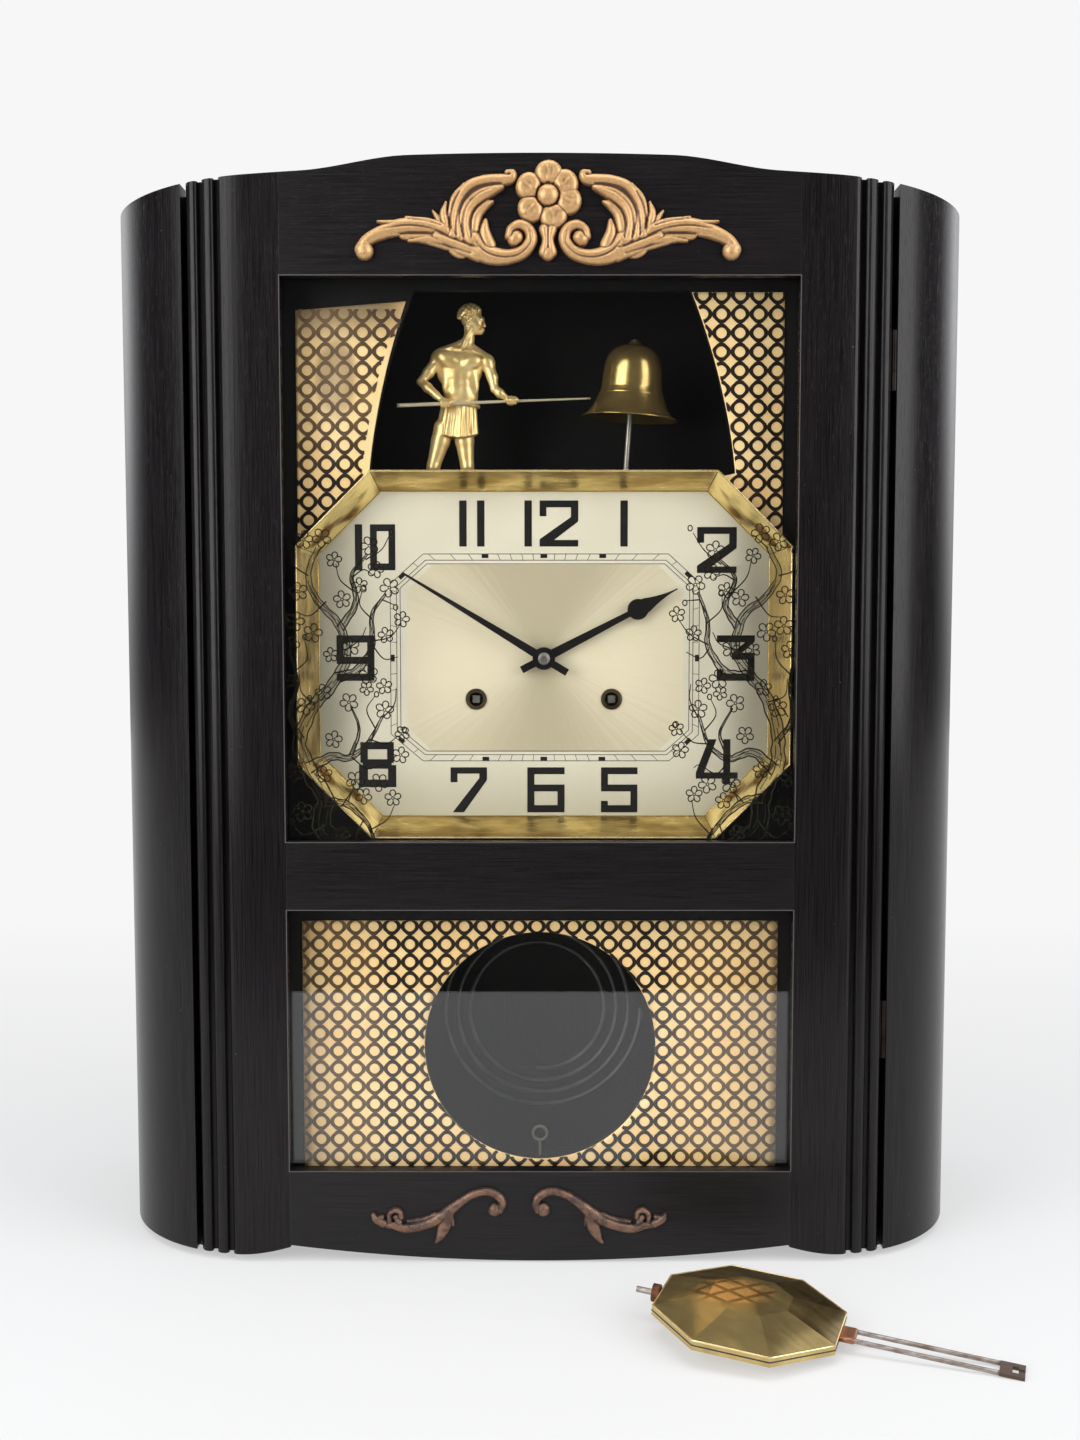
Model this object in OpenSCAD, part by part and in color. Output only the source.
// Striking pendulum clock in a black wooden case, with a glazed door,
// a bell-striker figure above the dial, a wire gong and a loose pendulum.
// Frame: X to the viewer's right, Y to the back, Z up. Origin under the bottom board.

/* [Case] */
// Overall width across the rounded sides
case_w = 448; // [430:1:470]
// Depth from the door's front face to the wall
case_d = 160; // [150:1:180]
// Radius of the rounded sides, seen from above
side_r = 80; // [74:1:86]
// Thickness of the side panels
side_t = 12; // [9:0.5:14]
// Height of the top edge at the widest point of the sides
shoulder_z = 541.7; // [525:1:550]
// Rise of the bowed top edge from the shoulders to the middle
bow_rise = 12.5; // [6:0.5:20]
// Extra rise of the crest under the carving
crest_rise = 5; // [2:0.5:12]
// Half width of the crest where it has faded out
crest_reach = 118; // [105:1:125]
// Width over which the crest fades
crest_fade = 53; // [40:1:60]
// Height of the stiles' feet above the floor
foot_z = 3.7; // [2:0.1:6]
// Thickness of the back, top and bottom boards
board_t = 8; // [6:0.5:12]
// Drop of the top board below the top edge
top_drop = 3; // [2:0.5:6]

/* [Door] */
// Gap between the door and the side panels
door_gap = 3; // [2.6:0.1:4]
// Distance of that gap from the case's widest point
gap_inset = 47; // [44:0.5:50]
// Thickness of the door's rails and stiles
door_t = 20; // [18:0.5:22]
// Width of each flute
flute_w = 2.3; // [1.5:0.1:3]
// Depth of each flute
flute_d = 5; // [3:0.5:7]
// Distance from one flute to the next
flute_pitch = 8.6; // [7:0.1:10]
// Width of both window openings
window_w = 257; // [250:1:265]
// Bottom of the upper window
upper_z0 = 218.7; // [212:0.1:224]
// Top of the upper window
upper_z1 = 500.1; // [490:0.1:506]
// Bottom of the lower window
lower_z0 = 48.1; // [42:0.1:54]
// Top of the lower window
lower_z1 = 183.4; // [178:0.1:190]
// Thickness of the wood in front of the glass
lip_t = 6; // [4:0.5:7]
// Depth of the glass rebate around each window
rebate = 4.5; // [4:0.5:6]
// Thickness of the window glass
glass_t = 2.5; // [2:0.1:3]
// Side of the glazing beads
bead = 2.2; // [1.5:0.1:2.4]
// Rise of the stile's lower edge at its joint with the apron
stile_rise = 4.3; // [2:0.1:8]
// Rise of the apron's lower edge from its middle to the joint
apron_rise = 8.2; // [4:0.1:12]
// Clearance under the apron
apron_clear = 0.8; // [0.5:0.1:2]

/* [Hinges and catch] */
// Radius of the hinge knuckles
knuckle_r = 1.25; // [1.1:0.05:1.3]
// Radius of the hinge pin
hinge_pin_r = 0.6; // [0.5:0.05:0.8]
// Length of one of the three knuckles
knuckle_len = 10; // [8:1:14]
// Height of the lower hinge
hinge_z0 = 105; // [90:5:130]
// Height of the upper hinge
hinge_z1 = 445; // [420:5:470]
// Thickness of the hinge leaves
leaf_t = 0.8; // [0.6:0.1:1]

/* [Dial and mask] */
// Thickness of the mask board
mask_t = 5; // [4:0.5:6]
// Gap between the door's back and the mask board
mask_gap = 2; // [1.5:0.5:3]
// Offset of the dial from the middle of the case
dial_x = 2; // [0:0.5:4]
// Height of the dial's centre
dial_z = 310.7; // [308:0.1:313]
// Half width of the bezel's rim
bezel_hw = 126; // [124:0.5:127]
// Half height of the bezel's rim
bezel_hh = 93.7; // [92:0.1:94.5]
// Length cut off each corner of the rim
bezel_cut = 38; // [34:0.5:42]
// Width of the sloping band
band_w = 9.8; // [8:0.1:11]
// How far the rim stands in front of the mask board
rim_out = 11.5; // [10:0.5:12]
// Thickness of the bezel's sheet
bezel_t = 0.8; // [0.6:0.1:1.2]
// Radius of the round opening in front of the pendulum
port_r = 60.5; // [56:0.5:62]
// Height of the round opening's centre
port_z = 107.5; // [106:0.5:112]
// Thickness of the pierced sheets
grille_t = 0.6; // [0.4:0.1:0.8]
// Distance of the winding holes from the dial's centre, sideways
wind_x = 35.1; // [34:0.1:36]
// Distance of the winding holes below the dial's centre
wind_z = 21.3; // [20:0.1:23]

/* [Hands] */
// Length of the minute hand
minute_len = 85; // [78:1:90]
// Length of the hour hand
hour_len = 77.5; // [70:0.5:80]
// Length of each hand's tail
tail_len = 14; // [10:0.5:16]
// Reading of the hands, in minutes after one o'clock
hands_min = 50.2; // [49:0.1:52]
// Thickness of a hand
hand_t = 0.9; // [0.6:0.1:1.2]

/* [Movement] */
// Half width of the brass plates
plate_hw = 57; // [55:1:59]
// Height of the plates' upper edge above the dial's centre
plate_up = 54; // [52:1:55]
// Depth of the plates' lower edge below the dial's centre
plate_down = 58; // [56:1:60]
// Thickness of the brass plates
plate_t = 2; // [1.5:0.1:2.5]
// Distance between the plates
plate_gap = 42; // [40:1:44]
// Distance from the dial's back to the front plate
dial_gap = 12; // [11:0.5:14]
// Radius of the arbors
arbor_r = 1.2; // [1:0.05:1.4]
// Radius of the winding arbors
wind_r = 3; // [2.6:0.1:3.2]
// Running clearance of arbors and pins, on the radius
run_fit = 0.05; // [0.03:0.01:0.08]
// Radius of the spring barrels
barrel_r = 27; // [24:0.5:27.5]
// Length of the spring barrels
barrel_len = 20; // [16:1:22]

/* [Gong and strike] */
// Radius of the gong's outer turn
gong_r = 57.5; // [54:0.5:60]
// Distance between the gong's turns
gong_pitch = 7.2; // [6:0.1:8]
// Number of turns of the gong
gong_turns = 3; // [2:1:4]
// Thickness of the gong wire
gong_wire = 2.6; // [2:0.1:3]
// Height of the gong's centre
gong_z = 101; // [98:0.5:104]
// Distance of the gong in front of the back board
gong_stand = 27; // [24:1:30]
// Radius of the gong hammer's head
hammer_r = 5; // [4:0.5:6]
// Radius of the bell's mouth
bell_r = 25; // [23:0.5:26]
// Height of the bell
bell_h = 39; // [36:0.5:42]
// Lean of the bell and its post
bell_lean = 4; // [0:0.5:5]
// Thickness of the bell's wall
bell_t = 1.2; // [1:0.1:2]

/* [Pendulum] */
// Radius of the bob to its corners
bob_r = 46; // [42:0.5:48]
// Radius of the bob's flat middle
bob_flat_r = 18; // [15:0.5:22]
// Depth of the bob's front dome
bob_dome = 6.5; // [5:0.5:9]
// Height of the bob's upright rim, on each half
bob_rim = 2.2; // [1.5:0.1:3]
// Thickness of the bob's sheet
bob_t = 0.9; // [0.7:0.1:1.2]
// Distance from the bob's centre to the end of the hook plate
rod_len = 123.5; // [115:0.5:130]
// Thickness of each rod wire
rod_wire = 2.2; // [1.8:0.1:2.6]
// Distance between the two rod wires
rod_gap = 9.5; // [8:0.5:11]
// Place of the loose bob's centre on the floor, sideways
loose_x = 97.5; // [90:0.5:105]
// Distance of the loose bob's centre in front of the door
loose_y = 81; // [75:0.5:90]
// Direction in which the loose rod points
loose_turn = -18.9; // [-25:0.1:-12]

/* [Hidden] */

$fn = 48;
eps = 0.01;

// Places along Y
front_y = -case_d / 2;
back_y = case_d / 2;
side_cy = front_y + side_r;
door_back_y = front_y + door_t;
mask_y = door_back_y + mask_gap;
mask_back_y = mask_y + mask_t;
glass_y = front_y + lip_t;
rim_y = mask_y - rim_out;
dial_y = mask_back_y;
dial_t = 1;
plate_y = dial_y + dial_gap + dial_t;
plate_in_y = plate_y + plate_t;
plate_back_y = plate_in_y + plate_gap;
plate_rear_y = plate_back_y + plate_t;
wall_y = back_y - board_t;
gong_y = wall_y - gong_stand;

// Places along X
side_cx = case_w / 2 - side_r;
gap_x = case_w / 2 - gap_inset;
door_hw = gap_x - door_gap / 2;
lip_x = gap_x + door_gap / 2;
window_hw = window_w / 2;
inner_hw = case_w / 2 - side_t;
foot_x = gap_x - 20;

// Rebate in the side panels that the mask board sits in
mask_lap = 10;
mask_hw = lip_x + mask_lap;
fit = 0.2;

// Height of the top edge at x: a shallow bow with a soft crest in the middle
function fade(t) = let(c = min(1, max(0, t))) c * c * (3 - 2 * c);
function top_z(x) = shoulder_z + bow_rise * (1 - pow(x / (case_w / 2), 2))
    + crest_rise * fade((crest_reach - abs(x)) / crest_fade);
// Height of the lower edge at x: feet under the stiles, and an apron that bows down
function foot_edge(x) = abs(x) >= foot_x ? foot_z
    : foot_z + stile_rise * pow((foot_x - abs(x)) / (foot_x - window_hw), 2);
function apron_edge(x) = apron_clear + apron_rise * pow(x / window_hw, 2);

edge_steps = 56;
function edge_x(i, hw) = -hw + 2 * hw * i / edge_steps;

// Board cut to the case's outline, from y0 to y1 and within hw of the middle
module outline_board(hw, y0, y1, drop, z0) {
    translate([0, y1, 0]) rotate([90, 0, 0]) linear_extrude(y1 - y0)
        polygon(concat([[-hw, z0]],
            [for (i = [0:edge_steps]) [edge_x(i, hw), top_z(edge_x(i, hw)) - drop]],
            [[hw, z0]]));
}

// Plan of the right side panel, seen from above
module side_plan() {
    difference() {
        union() {
            translate([side_cx, side_cy]) circle(side_r);
            translate([side_cx, side_cy]) square([side_r, back_y - side_cy]);
        }
        translate([side_cx, side_cy]) circle(side_r - side_t);
        translate([side_cx - side_r, side_cy]) square([2 * side_r - side_t, case_d]);
        translate([side_cx - side_r, front_y - eps]) square([side_r + lip_x - side_cx, side_r + 1]);
        translate([lip_x - 1, mask_y]) square([mask_lap + 1, side_r]);
    }
}

module right_side() {
    color("#2b292c") difference() {
        intersection() {
            translate([0, 0, foot_z]) linear_extrude(shoulder_z + bow_rise) side_plan();
            outline_board(case_w / 2, front_y, back_y, 0, foot_z);
        }
        for (z = [hinge_z0, hinge_z1]) translate([lip_x - eps, hinge_y - leaf_t / 2, z])
            cube([leaf_t + eps, leaf_len + leaf_t / 2, 3 * knuckle_len + fit]);
    }
}

module left_side() {
    color("#2b292c") intersection() {
        translate([0, 0, foot_z]) linear_extrude(shoulder_z + bow_rise) mirror([1, 0]) side_plan();
        outline_board(case_w / 2, front_y, back_y, 0, foot_z);
    }
}

// Plan of the space between the side panels, behind the mask board's front
module inside_plan() {
    intersection() {
        translate([-inner_hw, mask_y]) square([2 * inner_hw, wall_y - mask_y]);
        union() {
            for (s = [-1, 1]) translate([s * side_cx, side_cy]) circle(side_r - side_t - fit);
            translate([-side_cx, front_y]) square([2 * side_cx, side_r]);
            translate([-inner_hw, side_cy]) square([2 * inner_hw, case_d]);
        }
    }
}

module top_board() {
    color("#2b292c") intersection() {
        linear_extrude(2 * shoulder_z) inside_plan();
        difference() {
            outline_board(inner_hw, mask_y, wall_y, top_drop, shoulder_z / 2);
            outline_board(inner_hw, mask_y - 1, wall_y + 1, top_drop + board_t, shoulder_z / 4);
        }
    }
}

module bottom_board() {
    color("#2b292c") linear_extrude(board_t) inside_plan();
}

// The hanger's hole, slot and screws
hook_r = 5;
hook_slot_r = 2.5;
hook_drop = 42;
hook_z = top_z(0) - hook_drop;
hanger_w = 46;
hanger_h = 34;
hanger_t = 2;
screw_r = 1.5;
screw_head_r = 3;
screw_len = 7;
screw_head_t = 1.2;
hanger_screw_x = 17;

module back_board() {
    color("#6b4a2f") difference() {
        outline_board(inner_hw, wall_y, back_y, top_drop, 0);
        translate([-hanger_w / 2, back_y - hanger_t, hook_z - hanger_h / 2])
            cube([hanger_w, hanger_t + eps, hanger_h]);
        translate([0, back_y + eps, hook_z]) rotate([90, 0, 0]) cylinder(r = 2 * hook_r, h = board_t - 1);
        for (s = [-1, 1]) translate([s * hanger_screw_x, back_y, hook_z])
            rotate([90, 0, 0]) cylinder(r = screw_r, h = screw_len);
    }
}

module hanger_plate() {
    color("#b8923f") translate([0, back_y, hook_z]) rotate([90, 0, 0]) difference() {
        translate([-hanger_w / 2, -hanger_h / 2]) cube([hanger_w, hanger_h, hanger_t]);
        translate([0, 0, -1]) cylinder(r = hook_r, h = hanger_t + 2);
        translate([-hook_slot_r, 0, -1]) cube([2 * hook_slot_r, hook_r + 5, hanger_t + 2]);
        for (s = [-1, 1]) translate([s * hanger_screw_x, 0, 0]) {
            translate([0, 0, -1]) cylinder(r = screw_r, h = hanger_t + 2);
            translate([0, 0, -1]) cylinder(r = screw_head_r, h = screw_head_t + 1);
        }
    }
}

module hanger_screws() {
    color("#8a8a8a") for (s = [-1, 1]) translate([s * hanger_screw_x, back_y, hook_z]) rotate([90, 0, 0]) {
        cylinder(r = screw_r, h = screw_len);
        cylinder(r = screw_head_r, h = screw_head_t);
    }
}

// Octagon with the corners cut at 45 degrees, drawn inwards by d
corner_k = 2 - sqrt(2);
function octagon(hw, hh, cut, d) = let(w = hw - d, h = hh - d, c = cut - d * corner_k) [
    [-w + c, -h], [w - c, -h], [w, -h + c], [w, h - c],
    [w - c, h], [-w + c, h], [-w, h - c], [-w, -h + c]];

// Middle of the bezel, a little above the dial's centre
bezel_z = dial_z + 1.7;
mask_inset = 5.2;
dial_lap = 3;

// Prism of a shape drawn in X and Z, from y0 back to y1
module prism(y0, y1) {
    translate([0, y1, 0]) rotate([90, 0, 0]) linear_extrude(y1 - y0) children();
}

module dial_opening(d) {
    translate([dial_x, bezel_z]) polygon(octagon(bezel_hw, bezel_hh, bezel_cut, d));
}

// Opening of the stage above the dial: its sides lean and curve inwards
stage_z0 = 402;
stage_z1 = 497;
stage_cx = 6.2;
stage_hw0 = 93.4;
stage_hw1 = 70;
stage_steps = 10;
function stage_hw(t) = stage_hw0 - (stage_hw0 - stage_hw1) * (0.35 * t + 0.65 * t * t);
module stage_opening() {
    polygon(concat(
        [for (i = [0:stage_steps]) let(t = i / stage_steps)
            [stage_cx - stage_hw(t), stage_z0 + t * (stage_z1 - stage_z0)]],
        [for (i = [stage_steps:-1:0]) let(t = i / stage_steps)
            [stage_cx + stage_hw(t), stage_z0 + t * (stage_z1 - stage_z0)]]));
}

module mask_board() {
    color("#141214") difference() {
        intersection() {
            outline_board(mask_hw - fit, mask_y, mask_back_y, top_drop + board_t, board_t);
            translate([-mask_hw, mask_y - 1, board_t]) cube([2 * mask_hw, mask_t + 2, shoulder_z + bow_rise]);
        }
        prism(mask_y - 1, mask_back_y + 1) {
            dial_opening(mask_inset);
            stage_opening();
        }
        translate([0, mask_y - 1, port_z]) rotate([-90, 0, 0]) cylinder(r = port_r, h = mask_t + 2, $fn = 96);
    }
}

// Sheets pierced with rows of dots and stars, one below and one each side of the stage
grille_hw = 124;
grille_lz0 = 41;
grille_lz1 = 174;
grille_uz1 = 496;
grille_uz0 = 366;
module grilles() {
    color("#c9a560") {
        difference() {
            prism(mask_y - grille_t, mask_y)
                translate([-grille_hw, grille_lz0]) square([2 * grille_hw, grille_lz1 - grille_lz0]);
            translate([0, mask_y - grille_t - 1, port_z]) rotate([-90, 0, 0])
                cylinder(r = port_r, h = grille_t + 2, $fn = 96);
        }
        difference() {
            prism(mask_y - grille_t, mask_y)
                translate([-grille_hw, grille_uz0]) square([2 * grille_hw, grille_uz1 - grille_uz0]);
            prism(mask_y - grille_t - 1, mask_y + 1) {
                stage_opening();
                translate([stage_cx - stage_hw1, stage_z1 - 5]) square([2 * stage_hw1, 10]);
                translate([dial_x, bezel_z])
                    polygon(octagon(bezel_hw, bezel_hh, bezel_cut, -fit));
            }
        }
    }
}

// Black box behind the stage opening, with two ears and a pin that carry the figure
stage_floor_z = 377;
stage_wall = 2;
stage_floor_t = 3;
stage_box_hw = stage_hw0 + 9;
stage_depth = 73;
stage_h = 143;
figure_x = -41;
figure_y = mask_back_y + 23;
pivot_z = stage_floor_z + 4;
pivot_pin_r = 1;
ear_t = 1.5;
ear_gap = 9;
ear_top = 1.8;
module stage_box() {
    color("#0f0e10") {
        difference() {
            translate([stage_cx - stage_box_hw, mask_back_y, stage_floor_z - stage_floor_t])
                cube([2 * stage_box_hw, stage_depth, stage_h]);
            translate([stage_cx + stage_wall - stage_box_hw, mask_back_y - 1, stage_floor_z])
                cube([2 * (stage_box_hw - stage_wall), stage_depth - stage_wall + 1,
                    stage_h - stage_floor_t - stage_wall]);
            prism(dial_y - 1, dial_y + dial_t) dial_opening(mask_inset - dial_lap - fit);
        }
        for (y = [-ear_gap / 2 - ear_t, ear_gap / 2])
            translate([figure_x - 2, figure_y + y, stage_floor_z])
                cube([4, ear_t, pivot_z + ear_top - stage_floor_z]);
        translate([figure_x, figure_y - ear_gap / 2 - ear_t, pivot_z]) rotate([-90, 0, 0])
            cylinder(r = pivot_pin_r, h = ear_gap + 2 * ear_t);
    }
}

// Mitred eight-sided ring: profile points are [distance inwards, y], carried round the octagon
module dial_bezel() {
    profile = [[0, mask_y], [0, rim_y], [bezel_t, rim_y], [band_w, dial_y - 0.4],
        [band_w - 0.4, dial_y], [band_w - 1.4, dial_y], [bezel_t, rim_y + 1.6], [bezel_t, mask_y]];
    n = len(profile);
    points = [for (p = profile) for (q = octagon(bezel_hw, bezel_hh, bezel_cut, p[0])) [q[0], p[1], q[1]]];
    quads = [for (i = [0:n - 1]) for (j = [0:7])
        [i * 8 + j, i * 8 + (j + 1) % 8, ((i + 1) % n) * 8 + (j + 1) % 8, ((i + 1) % n) * 8 + j]];
    color("#c79f35") translate([dial_x, 0, bezel_z]) polyhedron(points, quads, 4);
}

dial_hole_r = 4.2;
eyelet_r = 3.6;
eyelet_tube_r = 4.2;
eyelet_flange_r = 5.5;
eyelet_t = 0.6;
module dial_plate() {
    color("#d9cfb0") difference() {
        prism(dial_y, dial_y + dial_t) dial_opening(mask_inset - dial_lap);
        translate([dial_x, dial_y - 1, dial_z]) rotate([-90, 0, 0]) cylinder(r = dial_hole_r, h = dial_t + 2);
        for (s = [-1, 1]) translate([dial_x + s * wind_x, dial_y - 1, dial_z - wind_z])
            rotate([-90, 0, 0]) cylinder(r = eyelet_tube_r, h = dial_t + 2);
    }
}

module winding_eyelets() {
    color("#b98d3a") for (s = [-1, 1]) translate([dial_x + s * wind_x, dial_y, dial_z - wind_z])
        rotate([-90, 0, 0]) difference() {
            union() {
                translate([0, 0, -eyelet_t]) cylinder(r = eyelet_flange_r, h = eyelet_t);
                cylinder(r = eyelet_tube_r, h = dial_t);
            }
            translate([0, 0, -2]) cylinder(r = eyelet_r, h = dial_t + 4);
        }
}

// Movement: places of the arbors in X and Z, measured from the dial's centre
mesh_wind = sqrt(wind_x * wind_x + wind_z * wind_z);
great_n = 72;
leaf_n = 12;
small_n = 10;
wheel_n = 60;
great_m = 2 * mesh_wind / (great_n + leaf_n);
centre_m = 0.7;
third_m = 0.6;
pin_m = 0.65;
centre_mesh = centre_m * (wheel_n + small_n) / 2;
third_mesh = third_m * (wheel_n + small_n) / 2;
fly_mesh = pin_m * (wheel_n + small_n) / 2;
third_dir = 60;
escape_dir = 150;
pin_dir = 75;
fly_dir = 115;
function polar(r, a) = [r * cos(a), r * sin(a)];
left_at = [-wind_x, -wind_z];
right_at = [wind_x, -wind_z];
centre_at = [0, 0];
third_at = polar(centre_mesh, third_dir);
escape_at = third_at + polar(third_mesh, escape_dir);
pin_at = left_at + polar(mesh_wind, pin_dir);
fly_at = pin_at + polar(fly_mesh, fly_dir);
escape_tip_r = 12;
anchor_reach = 17;
anchor_at = [0, escape_at[1] + sqrt(anchor_reach * anchor_reach - escape_at[0] * escape_at[0])];
work_m = 0.75;
work_n = 36;
hour_n = 48;
hour_m = work_m * (work_n + leaf_n) / (hour_n + leaf_n);
work_mesh = work_m * (work_n + leaf_n) / 2;
work_dir = 200;
work_at = polar(work_mesh, work_dir);
hammer_at = [-44, 8 - plate_down];
stud_r = 2;

// Cylinder along Y at a place of the movement, from y0 to y1
module rod_y(at, r, y0, y1) {
    translate([dial_x + at[0], y0, dial_z + at[1]]) rotate([-90, 0, 0]) cylinder(r = r, h = y1 - y0);
}

// Outline of a toothed wheel: n teeth of module m, with one tooth pointing in direction dir
function tooth_ring(n, m, dir) = let(step = 360 / n, rp = n * m / 2) [for (i = [0:n - 1]) for (k = [0:3])
    polar(k == 0 || k == 3 ? rp - 1.2 * m : rp + 0.75 * m,
        dir + i * step + step * [-0.27, -0.1, 0.1, 0.27][k])];

module toothed(at, n, m, dir, y0, y1) {
    translate([dial_x + at[0], 0, dial_z + at[1]]) prism(y0, y1) polygon(tooth_ring(n, m, dir));
}

// Crossed-out wheel: toothed rim with spokes; rim is the rim's inner radius as a share of the pitch radius
module spoked(at, n, m, dir, y0, y1, spokes, rim = 0.9) {
    rim_r = rim * n * m / 2;
    hub = 3.5;
    difference() {
        toothed(at, n, m, dir, y0, y1);
        for (i = [0:spokes - 1]) translate([dial_x + at[0], 0, dial_z + at[1]]) prism(y0 - 1, y1 + 1)
            rotate(i * 360 / spokes + 180 / spokes) difference() {
                intersection() {
                    circle(rim_r);
                    polygon([polar(0, 0), polar(3 * rim_r, -180 / spokes), polar(3 * rim_r, 180 / spokes)]);
                }
                circle(hub);
                rotate(180 / spokes) translate([0, -1]) square([2 * rim_r, 2]);
                rotate(-180 / spokes) translate([0, -1]) square([2 * rim_r, 2]);
            }
    }
}

seat_t = 9;
seat_back_y = plate_rear_y + 4;
module seat_board() {
    color("#7a5636") translate([0, 0, dial_z - plate_down - seat_t]) linear_extrude(seat_t) intersection() {
        inside_plan();
        translate([-inner_hw, dial_y + dial_t]) square([2 * inner_hw, seat_back_y - dial_y - dial_t]);
    }
}

module plate(y0) {
    translate([dial_x - plate_hw, y0, dial_z - plate_down]) cube([2 * plate_hw, plate_t, plate_up + plate_down]);
}

work_stud_len = 9.5;
module front_plate() {
    color("#c2a04a") {
        difference() {
            plate(plate_y);
            for (at = [centre_at, third_at, escape_at, pin_at, fly_at, anchor_at])
                rod_y(at, arbor_r + run_fit, plate_y - 1, plate_in_y + 1);
            for (at = [left_at, right_at]) rod_y(at, wind_r + run_fit, plate_y - 1, plate_in_y + 1);
        }
        rod_y(work_at, arbor_r, plate_y - work_stud_len, plate_y);
    }
}

module back_plate() {
    color("#c2a04a") {
        difference() {
            plate(plate_back_y);
            for (at = [centre_at, third_at, escape_at, pin_at, fly_at, anchor_at])
                rod_y(at, arbor_r + run_fit, plate_back_y - 1, plate_rear_y + 1);
            for (at = [left_at, right_at]) rod_y(at, wind_r + run_fit, plate_back_y - 1, plate_rear_y + 1);
        }
        rod_y(hammer_at, stud_r, plate_rear_y, gong_y + 3);
    }
}

// Three pillars: one in each upper corner and one low down between the great wheels
pillar_r = 3.5;
pillar_inset = 7;
module plate_pillars() {
    color("#a98b3f") for (at = [[pillar_inset - plate_hw, plate_up - pillar_inset],
            [plate_hw - pillar_inset, plate_up - pillar_inset], [0, pillar_inset - plate_down]])
        rod_y(at, pillar_r, plate_in_y, plate_back_y);
}

// Cock behind the back plate: it bears the anchor's arbor and carries the suspension spring
cock_y = plate_rear_y + 4;
cock_t = 2;
cock_hw = 14;
spring_t = 0.4;
spring_w = 5;
hang_y = cock_y + cock_t + 4;
spring_top = 9;
hang_pin_r = 0.8;
module suspension_cock() {
    ax = dial_x + anchor_at[0];
    az = dial_z + anchor_at[1];
    color("#b0883a") {
        difference() {
            translate([ax - cock_hw, cock_y, az - 4]) cube([2 * cock_hw, cock_t, 8 + spring_top]);
            rod_y(anchor_at, arbor_r + run_fit, cock_y - 1, cock_y + cock_t + 1);
        }
        for (s = [-1, 1]) translate([ax + s * (cock_hw - 2.5) - 2.5, plate_rear_y, az - 4])
            cube([5, cock_y - plate_rear_y, 8]);
        translate([ax - 3, cock_y + cock_t, az + spring_top]) cube([6, 6, 4]);
    }
    color("#9aa0a6") {
        translate([ax - spring_w / 2, hang_y - spring_t / 2, az]) cube([spring_w, spring_t, spring_top]);
        translate([ax, hang_y - 2.5, az]) rotate([-90, 0, 0]) cylinder(r = hang_pin_r, h = 5);
    }
}

// Gong: a flat spiral of wire, opening by gong_pitch each turn, with a straight inner end
rings = 24;
sides = 6;
gong_x = 0;
gong_in_r = gong_r - gong_pitch * gong_turns;
function gong_point(i) = let(t = i / rings, r = gong_in_r + gong_pitch * t)
    [gong_x + r * cos(360 * t - 90), gong_z + r * sin(360 * t - 90)];
gong_path = concat([[gong_x - gong_wire, gong_z - gong_in_r]], [for (i = [0:rings * gong_turns + 6]) gong_point(i)]);
function unit(v) = v / norm(v);
function along(i) = let(n = len(gong_path))
    unit(gong_path[min(n - 1, i + 1)] - gong_path[max(0, i - 1)]);
// Least clear distance between one turn and the next, measured on the path's points
gong_self_gap = min([for (i = [0:len(gong_path) - 1]) for (j = [i + rings / 2:1:len(gong_path) - 1])
    norm(gong_path[i] - gong_path[j])]) - gong_wire;
echo("least gap between the gong's turns", gong_self_gap);

module gong() {
    n = len(gong_path);
    points = [for (i = [0:n - 1]) let(d = i == 0 ? [1, 0] : along(i), side = [-d[1], d[0]]) for (k = [0:sides - 1])
        let(a = 360 * k / sides, c = cos(a) * gong_wire / 2, s = sin(a) * gong_wire / 2)
        [gong_path[i][0] + side[0] * c, gong_y + s, gong_path[i][1] + side[1] * c]];
    start_cap = [for (k = [1:sides - 2]) [0, k, k + 1]];
    end_cap = [for (k = [1:sides - 2]) [(n - 1) * sides, (n - 1) * sides + k + 1, (n - 1) * sides + k]];
    walls = [for (i = [0:n - 2]) for (k = [0:sides - 1]) let(a = i * sides + k, b = i * sides + (k + 1) % sides)
        each [[a, a + sides, b + sides], [a, b + sides, b]]];
    color("#4a4440") polyhedron(points, concat(start_cap, end_cap, walls), 4);
}

block_w = 9;
block_h = gong_pitch - 1.2;
module gong_block() {
    color("#2a2a2c") translate([gong_x - gong_wire - block_w, gong_y - 5, gong_z - gong_in_r - block_h / 2])
        cube([block_w, wall_y - gong_y + 5, block_h]);
}

// Screw eye in the bottom board that steadies the hanging bob for carrying
eye_y = 38;
eye_r = 4.1;
eye_wire = 1.7;
eye_z = 27.9;
module screw_eye() {
    color("#9c9a94") {
        translate([0, eye_y, eye_z]) rotate([90, 0, 0]) rotate_extrude()
            translate([eye_r, 0]) circle(d = eye_wire, $fn = 16);
        translate([0, eye_y, board_t]) cylinder(d = eye_wire, h = eye_z - eye_r - board_t);
    }
}

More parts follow.
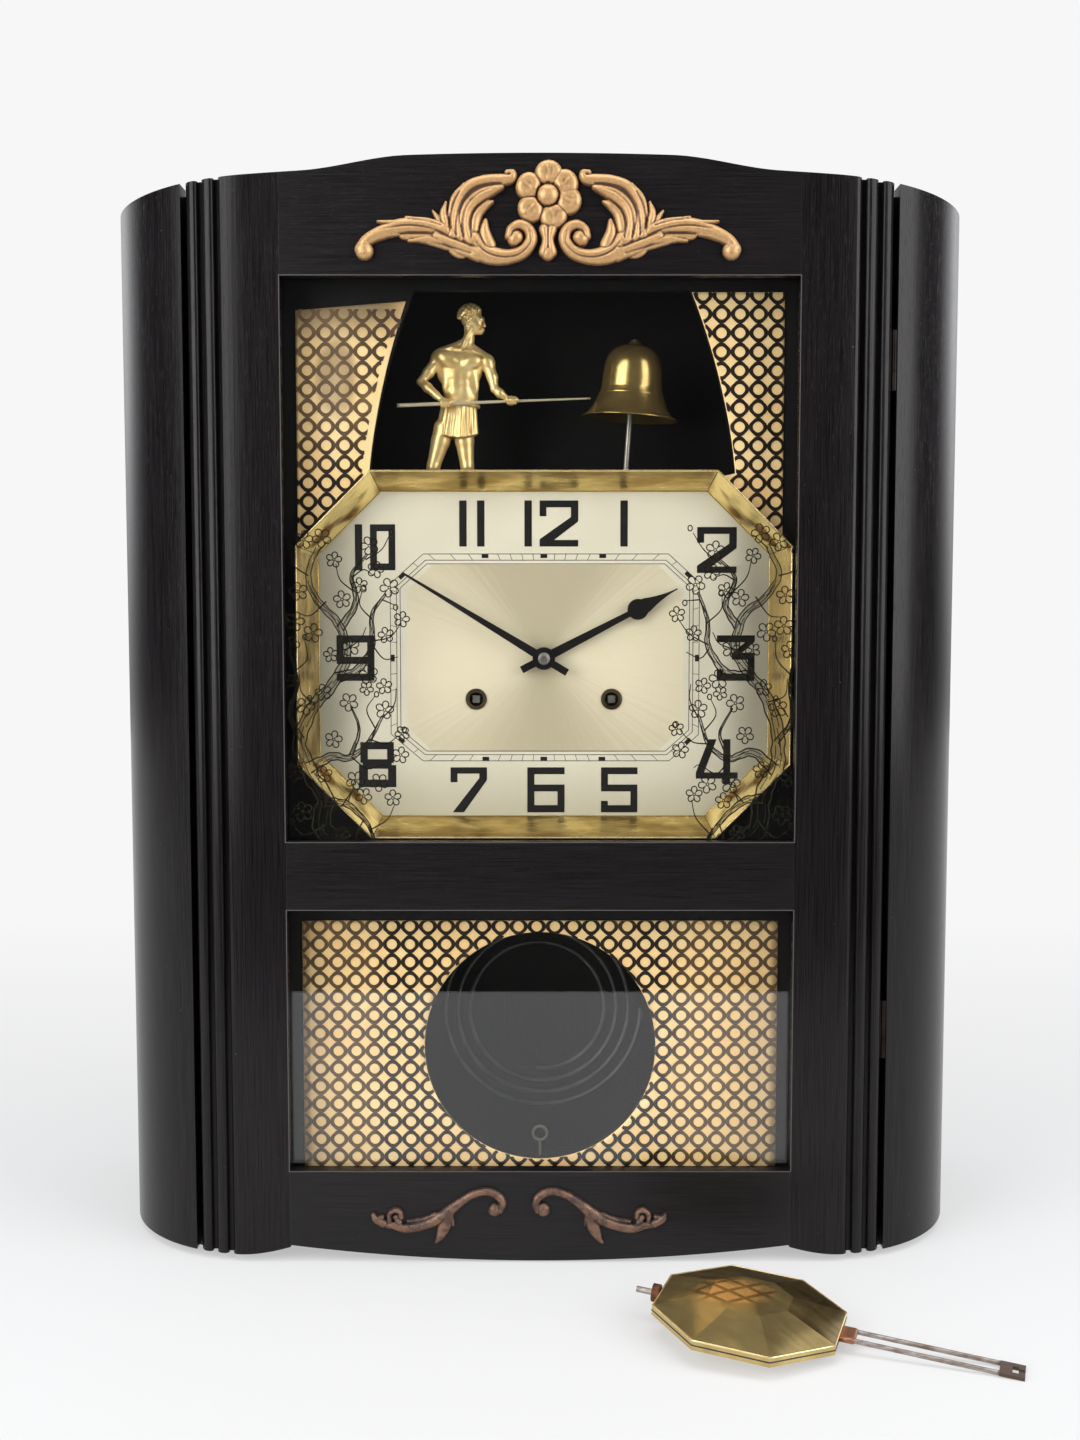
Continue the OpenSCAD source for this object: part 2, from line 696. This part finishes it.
// Bell on its post, both leaning to the viewer's right
bell_x = 47.4;
bell_y = figure_y + 4;
bell_mouth_z = 436;
post_r = 1.4;
module leaning() {
    translate([bell_x, bell_y, bell_mouth_z]) rotate([0, bell_lean, 0]) children();
}
bell_outer = [[bell_r, 0], [bell_r - 1, 1.4], [bell_r - 4.4, 5], [bell_r - 7, 9], [bell_r - 8.6, 12.5],
    [bell_r - 9.8, 17], [bell_r - 10.9, 23], [bell_r - 11.6, bell_h - 9], [bell_r - 13, bell_h - 4.4],
    [bell_r - 16.5, bell_h - 1.4], [post_r + 3, bell_h]];
module bell() {
    n = len(bell_outer);
    inner = [for (i = [n - 1:-1:0]) bell_outer[i]
        - (i == 0 ? [bell_t, 0] : i == n - 1 ? [0, bell_t] : [bell_t, bell_t * 0.6])];
    hole = post_r;
    color("#b9922f") leaning() rotate_extrude($fn = 72)
        polygon(concat(bell_outer, [[hole, bell_h], [hole, bell_h - bell_t]], inner));
}

module bell_post() {
    down = (bell_mouth_z - stage_floor_z) / cos(bell_lean) - 0.1;
    color("#a8a088") leaning() {
        translate([0, 0, -down]) cylinder(r = post_r, h = down + bell_h + 2.5);
        translate([0, 0, bell_h]) cylinder(r1 = 3.6, r2 = 2.2, h = 2);
        translate([0, 0, bell_h - bell_t - 1.5]) cylinder(r = 3, h = 1.5);
        translate([0, 0, -down + 0.3]) cylinder(r = 4, h = 2);
    }
}

// Knuckle hinges hidden in the right-hand gap of the door
hinge_y = side_cy - sqrt(side_r * side_r - pow(gap_x - side_cx, 2)) + knuckle_r + 0.25;
leaf_len = 9;
module knuckles(which) {
    for (z = [hinge_z0, hinge_z1]) for (i = which)
        translate([gap_x, hinge_y, z + i * knuckle_len + fit / 2]) children();
}

module case_hinge_leaves() {
    color("#3a3026") {
        difference() {
            knuckles([0, 2]) {
                cylinder(r = knuckle_r, h = knuckle_len - fit);
                translate([0, -leaf_t / 2, 0]) cube([lip_x + leaf_t - gap_x, leaf_t, knuckle_len - fit]);
            }
            for (z = [hinge_z0, hinge_z1]) translate([gap_x, hinge_y, z - 1])
                cylinder(r = hinge_pin_r + run_fit, h = 3 * knuckle_len + 2);
        }
        for (z = [hinge_z0, hinge_z1]) translate([lip_x, hinge_y, z + fit / 2])
            cube([leaf_t, leaf_len, 3 * knuckle_len - fit]);
    }
}

module door_hinge_leaves() {
    color("#3a3026") {
        knuckles([1]) {
            cylinder(r = knuckle_r, h = knuckle_len - fit);
            translate([door_hw - leaf_t - gap_x, -leaf_t / 2, 0])
                cube([gap_x - door_hw + leaf_t, leaf_t, knuckle_len - fit]);
        }
        for (z = [hinge_z0, hinge_z1]) {
            translate([gap_x, hinge_y, z]) cylinder(r = hinge_pin_r, h = 3 * knuckle_len + fit);
            translate([door_hw - leaf_t, hinge_y, z + fit / 2])
                cube([leaf_t, leaf_len, 3 * knuckle_len - fit]);
        }
    }
}

// Ball catch on the mask board, just clear of the door's left stile
catch_x = -door_hw + 14;
catch_z = 290;
catch_r = 4;
module door_catch() {
    color("#b8923f") translate([catch_x, mask_y, catch_z]) rotate([90, 0, 0]) {
        cylinder(r = catch_r, h = mask_gap - 0.9);
        translate([0, 0, mask_gap - 0.9]) cylinder(r1 = catch_r - 1.2, r2 = 1.2, h = 0.6);
    }
}

// Plan of the right stile, seen from above
module stile_plan() {
    difference() {
        intersection() {
            union() {
                translate([side_cx, side_cy]) circle(side_r);
                translate([0, front_y]) square([side_cx, side_r]);
            }
            translate([window_hw, front_y]) square([door_hw - window_hw, door_t]);
        }
        for (i = [1, 2]) let(x = gap_x - i * flute_pitch,
                y = side_cy - sqrt(side_r * side_r - pow(max(0, x - side_cx), 2)))
            translate([x - flute_w / 2, y - 2]) square([flute_w, flute_d + 2]);
        translate([window_hw - 1, glass_y]) square([rebate + 1, door_t]);
    }
}

module stile_body() {
    steps = 12;
    intersection() {
        linear_extrude(2 * shoulder_z) stile_plan();
        prism(front_y - 1, door_back_y + 1) polygon(concat(
            [for (i = [0:steps]) let(x = window_hw + (door_hw - window_hw) * i / steps) [x, foot_edge(x)]],
            [for (i = [steps:-1:0]) let(x = window_hw + (door_hw - window_hw) * i / steps) [x, top_z(x)]]));
    }
}

module left_stile() {
    color("#2f2d30") mirror([1, 0, 0]) stile_body();
}

module right_stile() {
    color("#2f2d30") difference() {
        stile_body();
        for (z = [hinge_z0, hinge_z1])
            translate([door_hw - leaf_t, hinge_y - leaf_t, z]) cube([leaf_t + 1, leaf_len + leaf_t, 3 * knuckle_len + fit]);
    }
}

// Rail between the stiles: its back part laps behind their lips, and the glass sits in its rebates
module rail(z0, z1, low, high) {
    translate([-window_hw, front_y, z0]) cube([window_w, lip_t, z1 - z0]);
    translate([-window_hw - rebate, glass_y, z0 + low])
        cube([window_w + 2 * rebate, door_t - lip_t, z1 - z0 - low - high]);
}

module crest_rail() {
    color("#2d2b2e") intersection() {
        rail(upper_z1, 2 * shoulder_z, rebate, 0);
        outline_board(window_hw + rebate + 1, front_y - 1, door_back_y + 1, 0, 0);
    }
}

module middle_rail() {
    color("#2d2b2e") rail(lower_z1, upper_z0, rebate, rebate);
}

module apron_rail() {
    color("#2d2b2e") difference() {
        rail(-20, lower_z0, 0, rebate);
        prism(front_y - 1, door_back_y + 1) polygon(concat(
            [for (i = [0:edge_steps]) let(x = edge_x(i, window_hw + rebate)) [x, apron_edge(x)]],
            [[window_hw + rebate + 2, apron_edge(window_hw)], [window_hw + rebate + 2, -30],
                [-window_hw - rebate - 2, -30], [-window_hw - rebate - 2, apron_edge(window_hw)]]));
    }
}

module pane(z0, z1) {
    reach = rebate - 0.3;
    translate([-window_hw - reach, glass_y, z0 - reach])
        cube([window_w + 2 * reach, glass_t, z1 - z0 + 2 * reach]);
}

module upper_glass() {
    color("#dfe8e8", 0.3) pane(upper_z0, upper_z1);
}

module lower_glass() {
    color("#dfe8e8", 0.3) pane(lower_z0, lower_z1);
}

module bead_frame(z0, z1) {
    hw = window_hw + rebate;
    difference() {
        translate([-hw, glass_y + glass_t, z0 - rebate]) cube([2 * hw, bead, z1 - z0 + 2 * rebate]);
        translate([bead - hw, glass_y + glass_t - 1, z0 - rebate + bead])
            cube([2 * (hw - bead), bead + 2, z1 - z0 + 2 * (rebate - bead)]);
    }
}

module glass_beads() {
    color("#241f1e") {
        bead_frame(upper_z0, upper_z1);
        bead_frame(lower_z0, lower_z1);
    }
}

// Carved leaf or scroll: discs of changing radius along a path, joined two by two
module stroke(path, h) {
    linear_extrude(h) for (i = [0:len(path) - 2]) hull() {
        translate([path[i][0], path[i][1]]) circle(path[i][2], $fn = 16);
        translate([path[i + 1][0], path[i + 1][1]]) circle(path[i + 1][2], $fn = 16);
    }
}

// Crest carving, drawn from its middle: a flower, two volutes and two leafy arms
crest_arm = [[94, -18, 3.2], [88, -8, 2.6], [76, -5, 4], [62, -8, 6.5], [48, -14, 8.5], [34, -18, 6]];
crest_arch = [[46, -8, 6], [44, 8, 7], [36, 16, 7], [25, 17, 4], [20, 12, 2.5]];
crest_volute = [[0, -14, 3], [5, -20, 3.4], [12, -20, 4], [14, -12, 4.5], [22, -12, 3.5], [26, -17, 5]];
carving_t = 5;
crest_mid = [3.3, 530];
petals = 7;
petal_r = 8.5;
module crest_ornament() {
    color("#a97b42") translate([crest_mid[0], front_y, crest_mid[1]]) rotate([90, 0, 0]) {
        for (s = [0, 1]) mirror([s, 0, 0]) {
            stroke(crest_arm, carving_t);
            stroke(crest_arch, carving_t);
            stroke(crest_volute, carving_t);
        }
        for (i = [0:petals - 1]) rotate(90 + i * 360 / petals) translate([petal_r + 1, 0, 0])
            cylinder(r = petal_r * 0.62, h = carving_t + 2);
        cylinder(r = petal_r, h = carving_t + 3);
    }
}

// Apron carvings: an S scroll with a ball end towards the middle, and its mirror image
apron_arm = [[3, 0, 2.6], [6, 8, 2], [16, 13, 2.6], [27, 8, 3.4], [38, 0, 4], [48, -8, 3.6], [58, -6, 3], [67, -3, 2]];
apron_drop = [[36, -2, 3], [31, -10, 2.4], [25, -16, 1.6]];
apron_mid = [-11.3, 24];
apron_split = 7;
module apron_ornaments() {
    color("#7d5433") for (s = [0, 1])
        translate([apron_mid[0], front_y, apron_mid[1]]) mirror([s, 0, 0]) rotate([90, 0, 0])
            translate([apron_split, 0, 0]) {
                stroke(apron_arm, 3);
                stroke(apron_drop, 3);
            }
}

// Hands: angles in degrees clockwise from twelve
minute_turn = hands_min * 6;
hour_turn = 30 + hands_min / 2 + 7.4;
cannon_r = 2.3;
hour_tube_r = 3.3;
hour_hand_y = dial_y - 4.2;
minute_hand_y = dial_y - 7.4;
cannon_end_y = minute_hand_y - 0.2;
module hand_shape(turn, y, tail) {
    translate([dial_x, 0, dial_z]) prism(y, y + hand_t) rotate(-turn) difference() {
        union() {
            children();
            circle(5.8);
            translate([-1.9, -tail]) square([3.8, tail]);
        }
    }
}

module minute_hand() {
    color("#171517") difference() {
        hand_shape(minute_turn, minute_hand_y, tail_len)
            polygon([[-2.3, 0], [2.3, 0], [0.5, minute_len], [-0.5, minute_len]]);
        rod_y(centre_at, cannon_r, minute_hand_y - 1, minute_hand_y + hand_t + 1);
    }
}

disc_at = 0.705 * hour_len;
module hour_hand() {
    color("#171517") difference() {
        hand_shape(hour_turn, hour_hand_y, tail_len) {
            polygon([[-2, 0], [2, 0], [1.3, disc_at], [-1.3, disc_at]]);
            translate([0, disc_at]) circle(5.4);
            polygon([[-4, disc_at + 3], [4, disc_at + 3], [0.4, hour_len], [-0.4, hour_len]]);
        }
        rod_y(centre_at, hour_tube_r, hour_hand_y - 1, hour_hand_y + hand_t + 1);
    }
}

cannon_y0 = plate_y - 0.5;
centre_front_y = dial_y - 2;
module cannon_pinion() {
    color("#a09a88") difference() {
        union() {
            rod_y(centre_at, cannon_r, cannon_end_y, cannon_y0);
            toothed(centre_at, leaf_n, work_m, work_dir, plate_y - 4, plate_y - 1.2);
        }
        rod_y(centre_at, arbor_r + run_fit, centre_front_y - 0.5, cannon_y0 + 1);
    }
}

module hand_nut() {
    color("#8f8d86") {
        rod_y(centre_at, 3.1, cannon_end_y - 1.6, cannon_end_y);
        translate([dial_x, cannon_end_y - 1.6, dial_z]) rotate([90, 0, 0]) cylinder(r1 = 3.1, r2 = 1.6, h = 1);
    }
}

hour_wheel_y = plate_y - 9.2;
module hour_wheel() {
    color("#c2a04a") difference() {
        union() {
            rod_y(centre_at, hour_tube_r, hour_hand_y, hour_wheel_y + 1.6);
            toothed(centre_at, hour_n, hour_m, work_dir + 180 / hour_n, hour_wheel_y, hour_wheel_y + 1.6);
        }
        rod_y(centre_at, cannon_r + run_fit, hour_hand_y - 1, hour_wheel_y + 3);
    }
}

module minute_wheel() {
    color("#c2a04a") difference() {
        union() {
            toothed(work_at, work_n, work_m, work_dir + 180 + 180 / work_n, plate_y - 3.6, plate_y - 1.6);
            toothed(work_at, leaf_n, hour_m, work_dir + 180, plate_y - 9.4, plate_y - 3.6);
        }
        rod_y(work_at, arbor_r + run_fit, plate_y - 10, plate_y);
    }
}

// Winding arbor: a square end for the key in front, the barrel's axle behind
square_w = 3.8;
wind_front_y = dial_y + 0.4;
wind_rear_y = plate_rear_y + 0.8;
module winding_arbor(at) {
    color("#77777a") {
        rod_y(at, wind_r, plate_y - 3, wind_rear_y);
        translate([dial_x + at[0] - square_w / 2, wind_front_y, dial_z + at[1] - square_w / 2])
            cube([square_w, plate_y - 3 - wind_front_y, square_w]);
    }
}

module winding_arbor_left() {
    winding_arbor(left_at);
}

module winding_arbor_right() {
    winding_arbor(right_at);
}

// Spring barrels: a drum and its great wheel, turning on the winding arbor
great_t = 2;
right_great_y = plate_in_y + 8;
left_great_y = plate_back_y - 6;
module barrel(at, wheel_y, drum_y, dir) {
    color("#bd9a44") difference() {
        union() {
            toothed(at, great_n, great_m, dir, wheel_y, wheel_y + great_t);
            rod_y(at, barrel_r, drum_y, drum_y + barrel_len);
        }
        rod_y(at, wind_r + run_fit, drum_y - 5, drum_y + barrel_len + 5);
    }
}

function bearing(a, b) = atan2(b[1] - a[1], b[0] - a[0]);
module barrel_right() {
    barrel(right_at, right_great_y, right_great_y + great_t, bearing(right_at, centre_at) + 180 / great_n);
}

module barrel_left() {
    barrel(left_at, left_great_y, left_great_y - barrel_len, bearing(left_at, pin_at) + 180 / great_n);
}

centre_wheel_y = plate_in_y + 3;
module centre_wheel() {
    color("#c2a04a") {
        spoked(centre_at, wheel_n, centre_m, third_dir, centre_wheel_y, centre_wheel_y + 1.5, 5);
        toothed(centre_at, leaf_n, great_m, bearing(centre_at, right_at), right_great_y - 0.5,
            right_great_y + great_t + 0.5);
        rod_y(centre_at, arbor_r, centre_front_y, plate_rear_y);
    }
}

third_wheel_y = plate_in_y + 18;
module third_wheel() {
    color("#c2a04a") {
        toothed(third_at, small_n, centre_m, third_dir + 180 + 180 / small_n, centre_wheel_y - 1,
            centre_wheel_y + 2.5);
        spoked(third_at, wheel_n, third_m, escape_dir, third_wheel_y, third_wheel_y + 1.5, 5);
        rod_y(third_at, arbor_r, plate_y, plate_rear_y);
    }
}

// Escape wheel: pointed teeth that all lean the same way
escape_n = 30;
escape_y = plate_back_y - 12;
module escape_wheel() {
    color("#c2a04a") {
        toothed(escape_at, small_n, third_m, escape_dir + 180 + 180 / small_n, third_wheel_y - 1,
            third_wheel_y + 2.5);
        translate([dial_x + escape_at[0], 0, dial_z + escape_at[1]]) prism(escape_y, escape_y + 1.5)
            difference() {
                polygon([for (i = [0:escape_n - 1]) for (k = [0, 1])
                    polar(k == 0 ? escape_tip_r - 2.4 : escape_tip_r, (i + 0.45 * k) * 360 / escape_n)]);
                for (i = [0:4]) rotate(i * 72) translate([5.6, 0]) circle(1.9);
            }
        rod_y(escape_at, arbor_r, plate_y, plate_rear_y);
    }
}

// Flat strip from a to b whose half width goes from wa to wb
module strip(a, b, wa, wb) {
    d = unit(b - a);
    n = [-d[1], d[0]];
    polygon([a + n * wa, b + n * wb, b - n * wb, a - n * wa]);
}

// Anchor on its arbor, with the crutch that reaches the pendulum's leader behind the plates
pallet_clear = 1.6;
anchor_span = 56;
elbow_out = 4.8;
crutch_len = 52;
crutch_y = plate_rear_y + 1;
module anchor() {
    ax = dial_x + anchor_at[0];
    az = dial_z + anchor_at[1];
    tilt = bearing(anchor_at, escape_at);
    color("#8a8d92") {
        rod_y(anchor_at, arbor_r, plate_y, cock_y + cock_t);
        rod_y(anchor_at, 3, escape_y - 0.5, escape_y + 2);
        for (s = [-1, 1]) {
            out = tilt + 180 + s * anchor_span;
            elbow = escape_at + polar(escape_tip_r + elbow_out, out);
            tip = escape_at + polar(escape_tip_r + pallet_clear, out);
            translate([dial_x, 0, dial_z]) prism(escape_y, escape_y + 1.5) {
                strip(anchor_at, elbow, 1.6, 1.2);
                strip(elbow + polar(1.2, out), tip, 1.3, 0.7);
            }
        }
        translate([ax - 1.5, crutch_y, az - crutch_len]) cube([3, 1, crutch_len]);
        for (s = [-1, 1]) translate([ax + s * (fork_gap / 2 + 0.6) - 0.6, crutch_y, az - crutch_len])
            cube([1.2, hang_y + 2 - crutch_y, 3]);
        translate([ax - fork_gap / 2 - 1.2, crutch_y, az - crutch_len]) cube([fork_gap + 2.4, 1, 3]);
    }
}

// Leader: the strip that hangs from the suspension spring and carries the pendulum's hook
leader_w = 3;
leader_t = 1.4;
fork_gap = leader_w + 0.7;
leader_drop = 108;
module pendulum_leader() {
    ax = dial_x + anchor_at[0];
    az = dial_z + anchor_at[1];
    top_t = 1.2;
    color("#a8a6a0") {
        for (y = [hang_y - 0.5 - top_t, hang_y + 0.5]) difference() {
            translate([ax - 3, y, az - 6]) cube([6, top_t, 9]);
            translate([ax, y - 1, az]) rotate([-90, 0, 0]) cylinder(r = hang_pin_r + run_fit, h = top_t + 2);
        }
        translate([ax - leader_w / 2, hang_y - 0.5 - top_t, az - 7]) cube([leader_w, 1 + 2 * top_t, 3]);
        translate([ax - leader_w / 2, hang_y - leader_t / 2, az - leader_drop]) cube([leader_w, leader_t, leader_drop - 5]);
        translate([ax, hang_y - 4, az - leader_drop + 2]) rotate([-90, 0, 0]) cylinder(r = 1, h = 8);
    }
}

// Pin wheel of the strike, with a lobed cam behind the back plate
pin_wheel_y = plate_in_y + 11;
lobes = 6;
module pin_wheel() {
    color("#c2a04a") {
        toothed(pin_at, leaf_n, great_m, bearing(pin_at, left_at), left_great_y - 0.5, left_great_y + great_t + 0.5);
        spoked(pin_at, wheel_n, pin_m, fly_dir, pin_wheel_y, pin_wheel_y + 1.5, 5, 0.75);
        for (i = [0:7]) rod_y(pin_at + polar(0.84 * wheel_n * pin_m / 2, i * 45), 0.7,
            pin_wheel_y - 3, pin_wheel_y + 1);
        rod_y(pin_at, arbor_r, plate_y, cock_y + cock_t);
        translate([dial_x + pin_at[0], 0, dial_z + pin_at[1]]) prism(plate_rear_y + 1.6, plate_rear_y + 3.6)
            polygon([for (i = [0:2 * lobes - 1]) polar(i % 2 == 0 ? 6.6 : 4, i * 180 / lobes + 15)]);
    }
}

fly_y = plate_back_y - 22;
fly_r = 10.5;
module fly() {
    color("#c2a04a") {
        toothed(fly_at, small_n, pin_m, fly_dir + 180 + 180 / small_n, pin_wheel_y - 0.5, pin_wheel_y + 2);
        rod_y(fly_at, arbor_r, plate_y, plate_rear_y);
        translate([dial_x + fly_at[0] - fly_r, fly_y, dial_z + fly_at[1] - 0.4]) cube([2 * fly_r, 18, 0.8]);
    }
}

// Gong hammer: a long boss on its stud, a lifting tail above and a padded head below
hammer_drop = 113.3;
module gong_hammer() {
    hx = dial_x + hammer_at[0];
    hz = dial_z + hammer_at[1];
    tail_tip = pin_at + [10, -2];
    color("#8c8880") {
        difference() {
            union() {
                rod_y(hammer_at, 4, plate_rear_y + 0.6, gong_y + 2);
                translate([hx - 1.5, gong_y - 1.5, hz - hammer_drop]) cube([3, 3, hammer_drop]);
            }
            rod_y(hammer_at, stud_r + run_fit, plate_rear_y - 1, gong_y + 4);
        }
        translate([dial_x, 0, dial_z]) prism(plate_rear_y + 1.6, plate_rear_y + 3.2) polygon([
            hammer_at + [-2.4, 3], hammer_at + [2.4, 3], tail_tip + [1.2, 0], tail_tip + [-1.2, 0]]);
    }
    color("#5d3a22") translate([hx, gong_y - 6, hz - hammer_drop]) rotate([-90, 0, 0])
        cylinder(r = hammer_r, h = 12);
}

// Round bar from a to b whose radius goes from ra to rb
module bar(a, b, ra, rb) {
    d = b - a;
    translate(a) rotate([0, acos(d[2] / norm(d)), atan2(d[1], d[0])]) cylinder(r1 = ra, r2 = rb, h = norm(d));
}

// Limb of the figure: two balls and the skin over them
limb_fn = 12;
module limb(a, b, ra, rb) {
    hull() {
        translate(a) sphere(ra, $fn = limb_fn);
        translate(b) sphere(rb, $fn = limb_fn);
    }
}

// Bell-striker: bare chest, pleated skirt, a rod held in both hands
rod_tail = [-74, figure_y - 14.2, 441.1];
rod_tip = [26.6, figure_y + 2.6, 446.8];
striker_r = 1.1;
function rod_at(x) = rod_tail + (rod_tip - rod_tail) * (x - rod_tail[0]) / (rod_tip[0] - rod_tail[0]);
head_at = [-35.4, figure_y, 488.4];
jaw_at = [-33.8, figure_y, 482.6];
head_r = 6;
jaw_r = 3.6;
neck_top = [-36.6, figure_y, 481];
neck_base = [-39.5, figure_y, 471];
shoulder_r = [-53.1, figure_y, 468];
shoulder_l = [-29, figure_y, 466];
elbow_r = [-63, figure_y - 4, 454.3];
elbow_l = [-23.9, figure_y - 4, 450.5];
hand_r = rod_at(-49);
hand_l = rod_at(-14.6);
waist_z = 446;
hem_z = 426;
ankle_z = 389;
sole_z = pivot_z + 3.4;
base_under = 1.2;
hip_half = 6;
foot_half = 9.5;
foot_h = 6;
foot_mid = -47.5;
module figure_body() {
    hull() {
        translate(head_at) sphere(head_r, $fn = limb_fn);
        translate(jaw_at) sphere(jaw_r, $fn = limb_fn);
    }
    bar(neck_top, neck_base, 2.7, 3.2, $fn = limb_fn);
    hull() {
        for (s = [-1, 1]) translate([-41 + s * 7.5, figure_y, 465.5]) sphere(5.2, $fn = 16);
        for (s = [-1, 1]) translate([-41.5 + s * 2.6, figure_y, waist_z]) sphere(4.8, $fn = 16);
    }
    limb(shoulder_r, elbow_r, 3.3, 2.4);
    limb(elbow_r, hand_r, 2.4, 1.9);
    limb(shoulder_l, elbow_l, 3.1, 2.3);
    limb(elbow_l, hand_l, 2.3, 1.9);
    hull() {
        for (s = [-1, 1]) {
            translate([-43 + s * 4.6, figure_y, hem_z]) cylinder(r = 8.4, h = 1, $fn = 24);
            translate([-41.6 + s * 2.4, figure_y, waist_z - 1]) cylinder(r = 5.6, h = 1, $fn = 24);
        }
    }
    for (s = [-1, 1]) {
        ankle = [foot_mid + s * foot_half, figure_y, ankle_z];
        bar([-43 + s * hip_half, figure_y, hem_z + 3], ankle, 4.4, 2.2, $fn = limb_fn);
        translate(ankle + [-2.8, -7, sole_z - ankle_z]) cube([5.6, 11, foot_h]);
    }
}

module figure() {
    color("#c9a54c") difference() {
        union() {
            figure_body();
            translate([figure_x - 20, figure_y - 9, sole_z - base_under]) cube([34, 18, base_under + 0.2]);
            translate([figure_x, figure_y - ear_gap / 2 + fit, pivot_z]) rotate([-90, 0, 0])
                cylinder(r = 2.6, h = ear_gap - 2 * fit);
        }
        translate([figure_x, figure_y - ear_gap, pivot_z]) rotate([-90, 0, 0])
            cylinder(r = pivot_pin_r + run_fit, h = 2 * ear_gap);
        bar(rod_at(rod_tail[0] - 1), rod_at(rod_tip[0]), striker_r, striker_r);
    }
}

module striking_rod() {
    color("#b8a878") bar(rod_tail, rod_tip, striker_r, striker_r);
}

// Loose pendulum in front of the door: it rests on the back of its bob and on the end of its hook
rating_r = 1.4;
rating_out = 12;
hook_len = 11;
hook_w = rod_gap + rod_wire + 0.6;
hook_t = 1.6;
rod_hole_w = rod_gap + rod_wire + 2 * fit;
bob_flat = cos(22.5);
bob_half_t = bob_rim + bob_dome;
bob_rest_x = bob_flat_r * bob_flat;
loose_tilt = atan2(bob_half_t - hook_t / 2, rod_len - bob_rest_x);
loose_z = bob_half_t * cos(loose_tilt) + bob_rest_x * sin(loose_tilt);
module loose() {
    translate([loose_x, front_y - loose_y, loose_z]) rotate([0, loose_tilt, loose_turn]) children();
}

module bob_half() {
    rotate(22.5) difference() {
        union() {
            cylinder(r = bob_r, h = bob_rim, $fn = 8);
            translate([0, 0, bob_rim]) cylinder(r1 = bob_r, r2 = bob_flat_r, h = bob_dome, $fn = 8);
        }
        translate([0, 0, -eps]) cylinder(r = bob_r - bob_t, h = bob_rim, $fn = 8);
        translate([0, 0, bob_rim - 2 * eps]) cylinder(r1 = bob_r - bob_t, r2 = bob_flat_r - bob_t,
            h = bob_dome - bob_t, $fn = 8);
    }
}

module rod_way() {
    notch = 2 * (rating_r + fit);
    translate([bob_flat_r, -rod_hole_w / 2, -rod_wire / 2 - fit]) cube([rod_len, rod_hole_w, rod_wire + 2 * fit]);
    translate([-bob_r, -notch / 2, -notch / 2]) cube([bob_r - bob_flat_r, notch, notch]);
}

module bob_front() {
    color("#b8973f") loose() difference() {
        bob_half();
        rod_way();
    }
}

module bob_back() {
    color("#a88838") loose() difference() {
        mirror([0, 0, 1]) bob_half();
        rod_way();
    }
}

// Two wires from a crossbar inside the bob to a slotted hook plate, and a screw for the rating nut
crossbar_l = 5;
crossbar_x = -8;
ferrule_l = 9;
module pendulum_rod() {
    color("#9a968c") loose() {
        difference() {
            union() {
                for (s = [-1, 1]) translate([crossbar_x + 1, s * rod_gap / 2, 0]) rotate([0, 90, 0])
                    cylinder(d = rod_wire, h = rod_len - hook_len - crossbar_x);
                translate([rod_len - hook_len, -hook_w / 2, -hook_t / 2]) cube([hook_len, hook_w, hook_t]);
            }
            translate([rod_len - hook_len / 2, -1.2, -hook_t]) cube([hook_len, 2.4, 2 * hook_t]);
            translate([rod_len - hook_len / 2, -3, -hook_t]) cube([2.6, 6, 2 * hook_t]);
        }
        translate([crossbar_x, -rod_gap / 2 - 2, -2]) cube([crossbar_l, rod_gap + 4, 4]);
        translate([bob_r * bob_flat - ferrule_l + 6, -rod_gap / 2, -rod_wire / 2]) cube([ferrule_l, rod_gap, rod_wire]);
        translate([-bob_r * bob_flat - rating_out, 0, 0]) rotate([0, 90, 0])
            cylinder(r = rating_r, h = bob_r * bob_flat + rating_out + crossbar_x + 1);
    }
}

nut_r = 4.2;
nut_w = 3.5;
nut_gap = 0.6;
module rating_nut() {
    color("#6d4a35") loose() translate([-bob_r * bob_flat - nut_w - nut_gap, 0, 0]) rotate([0, 90, 0])
        difference() {
            cylinder(r = nut_r, h = nut_w);
            translate([0, 0, -1]) cylinder(r = rating_r + run_fit, h = nut_w + 2);
        }
}

left_side();
right_side();
top_board();
bottom_board();
back_board();
hanger_plate();
hanger_screws();
mask_board();
grilles();
stage_box();
dial_bezel();
dial_plate();
winding_eyelets();
seat_board();
front_plate();
back_plate();
plate_pillars();
suspension_cock();
gong();
gong_block();
screw_eye();
bell();
bell_post();
case_hinge_leaves();
door_catch();
left_stile();
right_stile();
crest_rail();
middle_rail();
apron_rail();
upper_glass();
lower_glass();
glass_beads();
crest_ornament();
apron_ornaments();
door_hinge_leaves();
cannon_pinion();
minute_hand();
hand_nut();
hour_hand();
hour_wheel();
minute_wheel();
winding_arbor_left();
winding_arbor_right();
barrel_left();
barrel_right();
centre_wheel();
third_wheel();
escape_wheel();
anchor();
pendulum_leader();
pin_wheel();
fly();
gong_hammer();
figure();
striking_rod();
bob_front();
bob_back();
pendulum_rod();
rating_nut();
